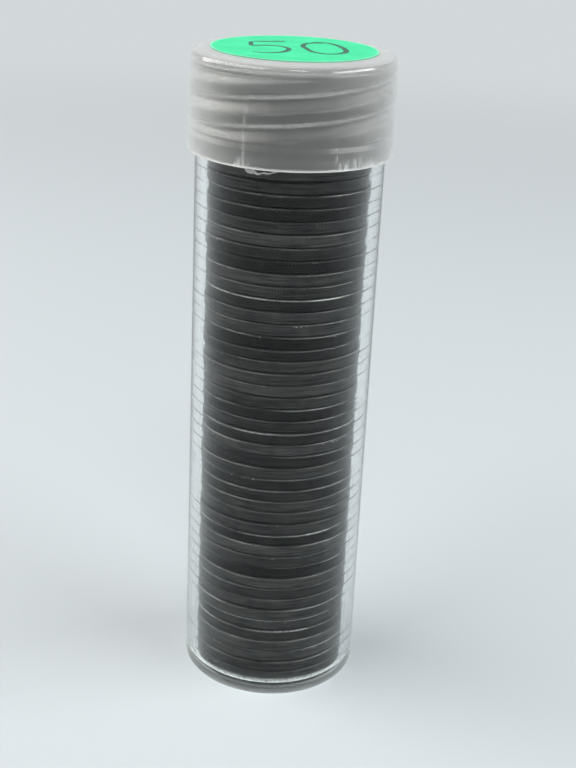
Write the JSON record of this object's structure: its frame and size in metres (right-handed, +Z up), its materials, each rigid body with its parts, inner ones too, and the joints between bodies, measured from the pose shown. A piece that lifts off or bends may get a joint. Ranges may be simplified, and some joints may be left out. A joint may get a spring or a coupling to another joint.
{
  "type": "coin tube",
  "caption": "Clear round screw-top tube that stores a full roll of small steel coins, with a milky cap and a round green paper label.",
  "frame": {"origin": "centre of the underside of the tube, on the surface that it stands on", "axes": "+Z up along the tube to the cap; -Y faces the camera of the picture, +X to its right"},
  "size_m": [0.024, 0.024, 0.0791],
  "materials": {
    "clear_plastic": "clear, polished, lightly scuffed",
    "milky_plastic": "milky, satin, scuffed at the rim",
    "green_paper": "fluorescent paper, matte",
    "coin_steel": "dull toned steel, worn bright on the rims"
  },
  "bodies": {
    "tube": {"tube_body": "clear_plastic"},
    "top_coin": {"coin_50": "coin_steel"},
    "cap": {"screw_cap": "milky_plastic", "dot_label": "green_paper"},
    "coin_01": {"coin_01": "coin_steel"},
    "coin_02": {"coin_02": "coin_steel"},
    "coin_03": {"coin_03": "coin_steel"},
    "coin_04": {"coin_04": "coin_steel"},
    "coin_05": {"coin_05": "coin_steel"},
    "coin_06": {"coin_06": "coin_steel"},
    "coin_07": {"coin_07": "coin_steel"},
    "coin_08": {"coin_08": "coin_steel"},
    "coin_09": {"coin_09": "coin_steel"},
    "coin_10": {"coin_10": "coin_steel"},
    "coin_11": {"coin_11": "coin_steel"},
    "coin_12": {"coin_12": "coin_steel"},
    "coin_13": {"coin_13": "coin_steel"},
    "coin_14": {"coin_14": "coin_steel"},
    "coin_15": {"coin_15": "coin_steel"},
    "coin_16": {"coin_16": "coin_steel"},
    "coin_17": {"coin_17": "coin_steel"},
    "coin_18": {"coin_18": "coin_steel"},
    "coin_19": {"coin_19": "coin_steel"},
    "coin_20": {"coin_20": "coin_steel"},
    "coin_21": {"coin_21": "coin_steel"},
    "coin_22": {"coin_22": "coin_steel"},
    "coin_23": {"coin_23": "coin_steel"},
    "coin_24": {"coin_24": "coin_steel"},
    "coin_25": {"coin_25": "coin_steel"},
    "coin_26": {"coin_26": "coin_steel"},
    "coin_27": {"coin_27": "coin_steel"},
    "coin_28": {"coin_28": "coin_steel"},
    "coin_29": {"coin_29": "coin_steel"},
    "coin_30": {"coin_30": "coin_steel"},
    "coin_31": {"coin_31": "coin_steel"},
    "coin_32": {"coin_32": "coin_steel"},
    "coin_33": {"coin_33": "coin_steel"},
    "coin_34": {"coin_34": "coin_steel"},
    "coin_35": {"coin_35": "coin_steel"},
    "coin_36": {"coin_36": "coin_steel"},
    "coin_37": {"coin_37": "coin_steel"},
    "coin_38": {"coin_38": "coin_steel"},
    "coin_39": {"coin_39": "coin_steel"},
    "coin_40": {"coin_40": "coin_steel"},
    "coin_41": {"coin_41": "coin_steel"},
    "coin_42": {"coin_42": "coin_steel"},
    "coin_43": {"coin_43": "coin_steel"},
    "coin_44": {"coin_44": "coin_steel"},
    "coin_45": {"coin_45": "coin_steel"},
    "coin_46": {"coin_46": "coin_steel"},
    "coin_47": {"coin_47": "coin_steel"},
    "coin_48": {"coin_48": "coin_steel"},
    "coin_49": {"coin_49": "coin_steel"}
  },
  "joints": [
    {"name": "cap_turn", "type": "hinge", "parent": "tube", "child": "top_coin", "pos_m": [0, 0, 0.078], "axis": [0, 0, 1], "range_deg": [0, 720]},
    {"name": "cap_lift", "type": "slide", "parent": "top_coin", "child": "cap", "axis": [0, 0, 1], "range_m": [0, 0.0124]},
    {"name": "coin_01_spin", "type": "hinge", "parent": "tube", "child": "coin_01", "pos_m": [0, 0, 0.00141], "axis": [0, 0, 1], "continuous": true},
    {"name": "coin_02_spin", "type": "hinge", "parent": "tube", "child": "coin_02", "pos_m": [0.00001, -0.00011, 0.00292], "axis": [0, 0, 1], "continuous": true},
    {"name": "coin_03_spin", "type": "hinge", "parent": "tube", "child": "coin_03", "pos_m": [0.00004, 0.00005, 0.00442], "axis": [0, 0, 1], "continuous": true},
    {"name": "coin_04_spin", "type": "hinge", "parent": "tube", "child": "coin_04", "pos_m": [-0.00004, -0.00001, 0.00592], "axis": [0, 0, 1], "continuous": true},
    {"name": "coin_05_spin", "type": "hinge", "parent": "tube", "child": "coin_05", "pos_m": [0.00002, -0.00001, 0.00743], "axis": [0, 0, 1], "continuous": true},
    {"name": "coin_06_spin", "type": "hinge", "parent": "tube", "child": "coin_06", "pos_m": [-0.00004, 0.00013, 0.00894], "axis": [0, 0, 1], "continuous": true},
    {"name": "coin_07_spin", "type": "hinge", "parent": "tube", "child": "coin_07", "pos_m": [-0.00006, -0.00012, 0.01044], "axis": [0, 0, 1], "continuous": true},
    {"name": "coin_08_spin", "type": "hinge", "parent": "tube", "child": "coin_08", "pos_m": [0.00012, 0.00004, 0.01195], "axis": [0, 0, 1], "continuous": true},
    {"name": "coin_09_spin", "type": "hinge", "parent": "tube", "child": "coin_09", "pos_m": [-0.00008, 0.00003, 0.01345], "axis": [0, 0, 1], "continuous": true},
    {"name": "coin_10_spin", "type": "hinge", "parent": "tube", "child": "coin_10", "pos_m": [0.00003, -0.00006, 0.01495], "axis": [0, 0, 1], "continuous": true},
    {"name": "coin_11_spin", "type": "hinge", "parent": "tube", "child": "coin_11", "pos_m": [0.00004, 0.00013, 0.01646], "axis": [0, 0, 1], "continuous": true},
    {"name": "coin_12_spin", "type": "hinge", "parent": "tube", "child": "coin_12", "pos_m": [-0.00006, -0.00003, 0.01796], "axis": [0, 0, 1], "continuous": true},
    {"name": "coin_13_spin", "type": "hinge", "parent": "tube", "child": "coin_13", "pos_m": [0.00008, -0.00002, 0.01947], "axis": [0, 0, 1], "continuous": true},
    {"name": "coin_14_spin", "type": "hinge", "parent": "tube", "child": "coin_14", "pos_m": [-0.00008, 0.00011, 0.02098], "axis": [0, 0, 1], "continuous": true},
    {"name": "coin_15_spin", "type": "hinge", "parent": "tube", "child": "coin_15", "pos_m": [-0.00002, -0.00013, 0.02248], "axis": [0, 0, 1], "continuous": true},
    {"name": "coin_16_spin", "type": "hinge", "parent": "tube", "child": "coin_16", "pos_m": [0.00011, 0.00009, 0.02398], "axis": [0, 0, 1], "continuous": true},
    {"name": "coin_17_spin", "type": "hinge", "parent": "tube", "child": "coin_17", "pos_m": [0, 0, 0.02549], "axis": [0, 0, 1], "continuous": true},
    {"name": "coin_18_spin", "type": "hinge", "parent": "tube", "child": "coin_18", "pos_m": [0.00004, -0.00004, 0.027], "axis": [0, 0, 1], "continuous": true},
    {"name": "coin_19_spin", "type": "hinge", "parent": "tube", "child": "coin_19", "pos_m": [0, 0.00004, 0.0285], "axis": [0, 0, 1], "continuous": true},
    {"name": "coin_20_spin", "type": "hinge", "parent": "tube", "child": "coin_20", "pos_m": [-0.00008, -0.00009, 0.03001], "axis": [0, 0, 1], "continuous": true},
    {"name": "coin_21_spin", "type": "hinge", "parent": "tube", "child": "coin_21", "pos_m": [0.00013, 0.00002, 0.03151], "axis": [0, 0, 1], "continuous": true},
    {"name": "coin_22_spin", "type": "hinge", "parent": "tube", "child": "coin_22", "pos_m": [-0.00002, 0.00002, 0.03302], "axis": [0, 0, 1], "continuous": true},
    {"name": "coin_23_spin", "type": "hinge", "parent": "tube", "child": "coin_23", "pos_m": [0.00003, -0.00013, 0.03452], "axis": [0, 0, 1], "continuous": true},
    {"name": "coin_24_spin", "type": "hinge", "parent": "tube", "child": "coin_24", "pos_m": [0.00006, 0.00011, 0.03603], "axis": [0, 0, 1], "continuous": true},
    {"name": "coin_25_spin", "type": "hinge", "parent": "tube", "child": "coin_25", "pos_m": [-0.00002, -0.00001, 0.03753], "axis": [0, 0, 1], "continuous": true},
    {"name": "coin_26_spin", "type": "hinge", "parent": "tube", "child": "coin_26", "pos_m": [0.00007, -0.00003, 0.03904], "axis": [0, 0, 1], "continuous": true},
    {"name": "coin_27_spin", "type": "hinge", "parent": "tube", "child": "coin_27", "pos_m": [-0.00001, 0.00002, 0.04054], "axis": [0, 0, 1], "continuous": true},
    {"name": "coin_28_spin", "type": "hinge", "parent": "tube", "child": "coin_28", "pos_m": [-0.00005, -0.00013, 0.04204], "axis": [0, 0, 1], "continuous": true},
    {"name": "coin_29_spin", "type": "hinge", "parent": "tube", "child": "coin_29", "pos_m": [0.0001, 0.00005, 0.04355], "axis": [0, 0, 1], "continuous": true},
    {"name": "coin_30_spin", "type": "hinge", "parent": "tube", "child": "coin_30", "pos_m": [-0.00013, 0.00004, 0.04505], "axis": [0, 0, 1], "continuous": true},
    {"name": "coin_31_spin", "type": "hinge", "parent": "tube", "child": "coin_31", "pos_m": [0.00002, -0.00004, 0.04656], "axis": [0, 0, 1], "continuous": true},
    {"name": "coin_32_spin", "type": "hinge", "parent": "tube", "child": "coin_32", "pos_m": [0, 0.00002, 0.04806], "axis": [0, 0, 1], "continuous": true},
    {"name": "coin_33_spin", "type": "hinge", "parent": "tube", "child": "coin_33", "pos_m": [-0.0001, -0.00008, 0.04957], "axis": [0, 0, 1], "continuous": true},
    {"name": "coin_34_spin", "type": "hinge", "parent": "tube", "child": "coin_34", "pos_m": [0.00001, 0, 0.05108], "axis": [0, 0, 1], "continuous": true},
    {"name": "coin_35_spin", "type": "hinge", "parent": "tube", "child": "coin_35", "pos_m": [-0.00002, 0.00002, 0.05258], "axis": [0, 0, 1], "continuous": true},
    {"name": "coin_36_spin", "type": "hinge", "parent": "tube", "child": "coin_36", "pos_m": [0, -0.00014, 0.05409], "axis": [0, 0, 1], "continuous": true},
    {"name": "coin_37_spin", "type": "hinge", "parent": "tube", "child": "coin_37", "pos_m": [0.00006, 0.00007, 0.05559], "axis": [0, 0, 1], "continuous": true},
    {"name": "coin_38_spin", "type": "hinge", "parent": "tube", "child": "coin_38", "pos_m": [-0.00013, -0.00001, 0.05709], "axis": [0, 0, 1], "continuous": true},
    {"name": "coin_39_spin", "type": "hinge", "parent": "tube", "child": "coin_39", "pos_m": [0.00005, -0.00004, 0.0586], "axis": [0, 0, 1], "continuous": true},
    {"name": "coin_40_spin", "type": "hinge", "parent": "tube", "child": "coin_40", "pos_m": [-0.00002, 0.00011, 0.0601], "axis": [0, 0, 1], "continuous": true},
    {"name": "coin_41_spin", "type": "hinge", "parent": "tube", "child": "coin_41", "pos_m": [-0.00002, -0.00003, 0.06161], "axis": [0, 0, 1], "continuous": true},
    {"name": "coin_42_spin", "type": "hinge", "parent": "tube", "child": "coin_42", "pos_m": [0.00014, 0.00004, 0.06312], "axis": [0, 0, 1], "continuous": true},
    {"name": "coin_43_spin", "type": "hinge", "parent": "tube", "child": "coin_43", "pos_m": [-0.00012, 0.00006, 0.06462], "axis": [0, 0, 1], "continuous": true},
    {"name": "coin_44_spin", "type": "hinge", "parent": "tube", "child": "coin_44", "pos_m": [0.00003, -0.00009, 0.06613], "axis": [0, 0, 1], "continuous": true},
    {"name": "coin_45_spin", "type": "hinge", "parent": "tube", "child": "coin_45", "pos_m": [0.00005, 0.00013, 0.06763], "axis": [0, 0, 1], "continuous": true},
    {"name": "coin_46_spin", "type": "hinge", "parent": "tube", "child": "coin_46", "pos_m": [-0.00013, -0.00006, 0.06914], "axis": [0, 0, 1], "continuous": true},
    {"name": "coin_47_spin", "type": "hinge", "parent": "tube", "child": "coin_47", "pos_m": [0.00006, -0.00002, 0.07064], "axis": [0, 0, 1], "continuous": true},
    {"name": "coin_48_spin", "type": "hinge", "parent": "tube", "child": "coin_48", "pos_m": [-0.00007, 0.00011, 0.07215], "axis": [0, 0, 1], "continuous": true},
    {"name": "coin_49_spin", "type": "hinge", "parent": "tube", "child": "coin_49", "pos_m": [-0.00002, -0.0001, 0.07365], "axis": [0, 0, 1], "continuous": true}
  ],
  "couplings": [
    {"joint": "cap_turn", "follows": "cap_lift", "rad_per_m": 1013.4}
  ]
}
